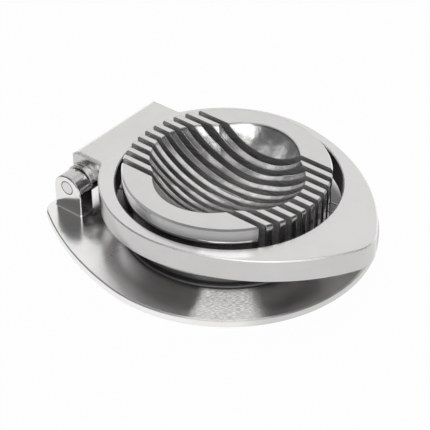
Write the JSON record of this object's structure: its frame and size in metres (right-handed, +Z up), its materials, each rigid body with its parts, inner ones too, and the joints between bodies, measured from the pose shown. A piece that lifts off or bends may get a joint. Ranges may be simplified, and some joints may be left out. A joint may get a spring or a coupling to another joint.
{
  "type": "egg slicer",
  "caption": "Hinged cast egg slicer: a base plate with a slotted round drum and egg hollow, and a pointed ring frame that carries cutting wires.",
  "frame": {"origin": "on the rest plane, under the middle of the object's bounding box; the drum's axis is 2 mm towards the hinge", "axes": "+X from the hinge to the thumb end, +Y along the hinge pin, +Z up from the rest plane"},
  "size_m": [0.132, 0.122, 0.03],
  "materials": {
    "base": "polished",
    "frame": "satin polished",
    "pin": "ground",
    "wire": "drawn",
    "ferrule": "pressed"
  },
  "bodies": {
    "base": {"base_casting": "base", "hinge_pin": "pin"},
    "frame": {"cutting_frame": "frame", "cutting_wire_01": "wire", "cutting_wire_02": "wire", "cutting_wire_03": "wire", "cutting_wire_04": "wire", "cutting_wire_05": "wire", "cutting_wire_06": "wire", "cutting_wire_07": "wire", "cutting_wire_08": "wire", "cutting_wire_09": "wire", "cutting_wire_10": "wire", "wire_ferrules_01": "ferrule", "wire_ferrules_02": "ferrule", "wire_ferrules_03": "ferrule", "wire_ferrules_04": "ferrule", "wire_ferrules_05": "ferrule", "wire_ferrules_06": "ferrule", "wire_ferrules_07": "ferrule", "wire_ferrules_08": "ferrule", "wire_ferrules_09": "ferrule", "wire_ferrules_10": "ferrule"}
  },
  "joints": [
    {"name": "frame_hinge", "type": "hinge", "parent": "base", "child": "frame", "pos_m": [-0.0565, 0, 0.014], "axis": [0, -1, 0], "range_deg": [0, 100]}
  ]
}
